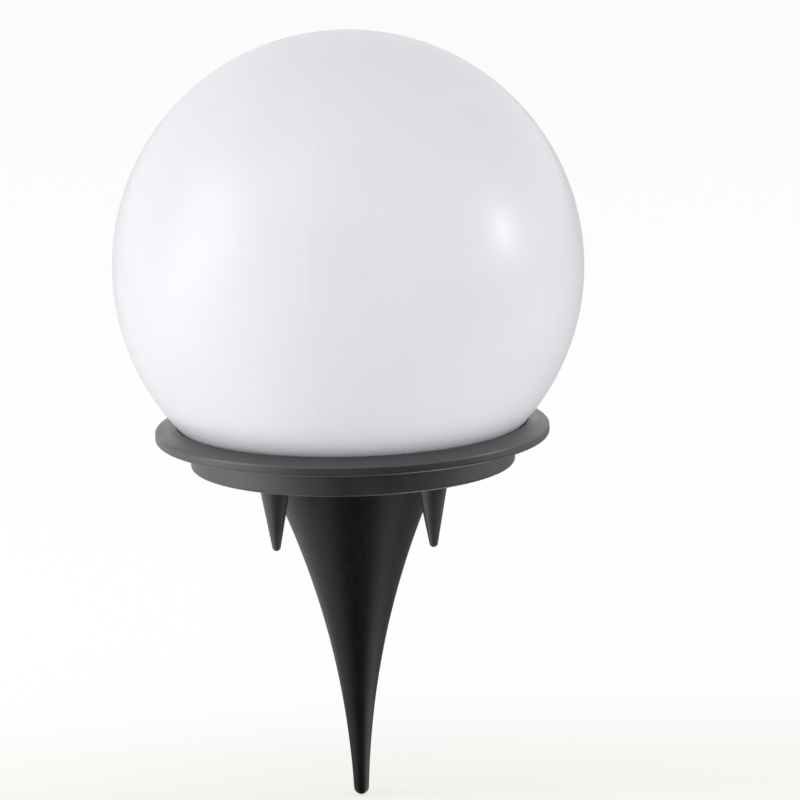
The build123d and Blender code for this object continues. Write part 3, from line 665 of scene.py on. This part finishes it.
def add_floor():
    """Pale floor that keeps a soft shadow, faintly warm round the light and white beyond."""
    half_width, front, back = 3.0, -0.06, 6.0
    warm_reach = 0.09                 # behind the light; in front the floor is white at its edge
    shape = bmesh.new()
    corners = [(-half_width, front), (half_width, front), (half_width, back), (-half_width, back)]
    shape.faces.new([shape.verts.new((x, y, 0)) for x, y in corners])
    finish = Finish("floor")
    off = finish.math("MAXIMUM", *(finish.along((0, 1 / end, 0)) for end in (warm_reach, front)))
    tone = finish.mix(off, (0.950, 0.942, 0.905), (1.0, 1.0, 1.0))
    lit = finish.add("ShaderNodeBsdfDiffuse")
    glow = finish.add("ShaderNodeEmission")
    finish.put(lit.inputs["Color"], finish.mix(floor_lit, (0, 0, 0), tone))
    finish.put(glow.inputs["Color"], tone)
    finish.put(glow.inputs["Strength"], floor_glow)
    both = finish.add("ShaderNodeAddShader")
    finish.put(both.inputs[0], lit.outputs[0])
    finish.put(both.inputs[1], glow.outputs[0])
    finish.put(finish.output.inputs["Surface"], both.outputs[0])
    floor = new_piece("floor", shape, finish.material)
    floor.location.z = spike_tip - floor_gap


# Glow of the card at angles round the light, in degrees from the front: the right is positive.
# The spike reflects its inner zone, the globe its middle zone and the base's walls the outer one.
inner_glow = (
    (-180, 0.05), (-150, 0.05), (-120, 0.45), (-90, 0.90), (-60, 0.75), (-35, 0.15),
    (0, 0.05), (35, 0.15), (60, 1.50), (80, 2.50), (100, 2.00), (120, 0.90), (150, 0.05), (180, 0.05),
)
middle_glow = (
    (-180, 0.30), (-150, 0.70), (-115, 1.00), (-50, 0.90), (-34, 0.40), (-15, 0.10),
    (0, 0.03), (45, 0.05), (60, 0.12), (88, 0.30), (110, 0.35), (140, 0.25), (180, 0.30),
)
outer_glow = (
    (-180, 0.30), (-150, 0.70), (-115, 1.20), (-92, 1.90), (-73, 1.75), (-50, 1.00),
    (-34, 0.45), (-15, 0.10), (0, 0.03), (45, 0.05), (60, 0.25), (88, 0.75),
    (110, 0.75), (140, 0.35), (180, 0.30),
)
# Distances from the axis over which one zone turns into the next.
middle_begins = (0.055, 0.070)
outer_begins = (0.20, 0.28)


def add_card():
    """Card below and in front of the light which only reflections see, with a graded glow."""
    brightest = 2.5                   # the highest glow in the tables
    sides = 72
    reach = 4.6                       # radius of the round card, and distance of the upright one
    rise = 2.4                        # height of the upright card
    half_width = 1.5
    low = spike_tip - floor_gap / 2   # between the floor and the spike's tip
    high = low + rise
    shape = bmesh.new()
    angles = [2 * pi * side / sides for side in range(sides)]
    shape.faces.new([shape.verts.new((reach * sin(a), -reach * cos(a), low)) for a in angles])
    front = [(-half_width, low), (half_width, low), (half_width, high), (-half_width, high)]
    shape.faces.new([shape.verts.new((x, -reach, z)) for x, z in front])
    finish = Finish("card")
    parts = finish.add("ShaderNodeSeparateXYZ")
    finish.put(parts.inputs[0], finish.point)
    angle = finish.math("ARCTAN2", parts.outputs[0], finish.math("MULTIPLY", parts.outputs[1], -1))
    turn = finish.span(angle, -pi, pi)
    glows = []
    for stops in (inner_glow, middle_glow, outer_glow):
        ramp = finish.add("ShaderNodeValToRGB")
        finish.put(ramp.inputs[0], turn)
        points = ramp.color_ramp.elements
        while len(points) < len(stops):
            points.new(0.5)
        for point, (degrees, glow) in zip(points, stops):
            point.position = (degrees + 180) / 360
            point.color = (*[glow / brightest] * 3, 1)
        glows.append(ramp.outputs[0])
    light = finish.add("ShaderNodeEmission")
    distance = finish.from_axis((0, 0, 0))
    near = finish.mix(finish.span(distance, *middle_begins), *glows[:2])
    all_zones = finish.mix(finish.span(distance, *outer_begins), near, glows[2])
    finish.put(light.inputs["Color"], all_zones)
    finish.put(light.inputs["Strength"], brightest)
    finish.put(finish.output.inputs["Surface"], light.outputs[0])
    card = new_piece("card", shape, finish.material)
    card.visible_camera = False
    card.visible_diffuse = False
    card.visible_transmission = False
    card.visible_shadow = False


def add_softbox(name, direction, distance, size, power, colour):
    """Rectangular lamp that faces the globe from a direction, with its power in watts."""
    data = bpy.data.lights.new(name, "AREA")
    data.shape = "RECTANGLE"
    data.size, data.size_y = size
    data.energy = power
    data.color = colour
    lamp = bpy.data.objects.new(name, data)
    bpy.context.scene.collection.objects.link(lamp)
    away = Vector(direction).normalized()
    lamp.location = globe_centre + away * distance
    lamp.visible_camera = False
    lamp.rotation_mode = "QUATERNION"
    lamp.rotation_quaternion = away.to_track_quat("Z", "Y")


# ------------------------------------------------------------------ making it all
add_camera()
add_world()
add_floor()
add_card()
add_softbox(
    "softbox_left", direction=(-0.923, -0.214, 0.318), distance=1.0,
    size=(0.60, 0.80), power=3.3, colour=(1.0, 0.985, 0.95),
)
add_softbox(
    "softbox_right", direction=(0.974, -0.081, 0.210), distance=1.1,
    size=(0.20, 0.28), power=1.6, colour=(1.0, 0.99, 0.97),
)
add_softbox(
    "softbox_top", direction=(-0.35, -0.45, 0.82), distance=1.1,
    size=(0.50, 0.50), power=0.5, colour=(1.0, 1.0, 1.0),
)

black = moulded_plastic(
    "base_plastic", tone=(0.020, 0.020, 0.0215), rough=0.36, gloss=0.9, bloom=0.12, rings=True
)
spike_black = moulded_plastic(
    "spike_plastic", tone=(0.004, 0.004, 0.0045), rough=0.35, gloss=0.30, streak=(1, 1, 14)
)
inner_black = moulded_plastic("inner_plastic", tone=(0.016, 0.016, 0.017), rough=0.44)
tinned = plated_metal("tinned_wire", tone=(0.74, 0.73, 0.71), rough=0.18)
contact = plated_metal("contact_plate", tone=(0.70, 0.68, 0.62), rough=0.17, brush=(1, 8, 1))
bus_grey = (0.45, 0.44, 0.42)
lead_black = (0.012, 0.012, 0.013)
dress({
    "globe": frosted_plastic(),
    "globe_seal": rubber(),
    "base_gasket": rubber(),
    "base_dish": black,
    "bottom_cover": black,
    "core_housing": inner_black,
    "ground_spike": spike_black,
    "cover_screws": cover_screw_steel(),
    "board_screws": plated_metal("small_screw_steel", tone=(0.60, 0.60, 0.60), rough=0.33),
    "panel_board": glass_laminate(),
    "solar_cells": solar_cell(),
    "panel_resin": clear_resin(),
    "leds": lamp_resin(),
    "led_legs": tinned,
    "led_bus_wires": wire_insulation("bus_insulation", bus_grey, bus_grey),
    "battery_cell": battery_sleeve(),
    "battery_tray": inner_black,
    "positive_contact": contact,
    "negative_spring": contact,
    "circuit_board": board_mask(),
    "driver_chip": chip_epoxy(),
    "choke": choke_finish(),
    "capacitor": capacitor_can(),
    "resistor": resistor_finish(),
    "switch_body": plated_metal("switch_case", tone=(0.66, 0.66, 0.66), rough=0.33, brush=(6, 1, 1)),
    "switch_knob": moulded_plastic("switch_plastic", tone=(0.62, 0.61, 0.58), rough=0.42),
    "switch_terminals": tinned,
    "panel_leads": wire_insulation("lead_insulation", lead_black, (0.40, 0.020, 0.016)),
    "battery_leads": wire_insulation("battery_insulation", lead_black, (0.42, 0.022, 0.016)),
    "switch_leads": wire_insulation("switch_insulation", (0.36, 0.25, 0.03), (0.42, 0.30, 0.04)),
})
add_lamp_insides(tinned, phosphor())

bpy.context.scene.view_settings.view_transform = "Standard"
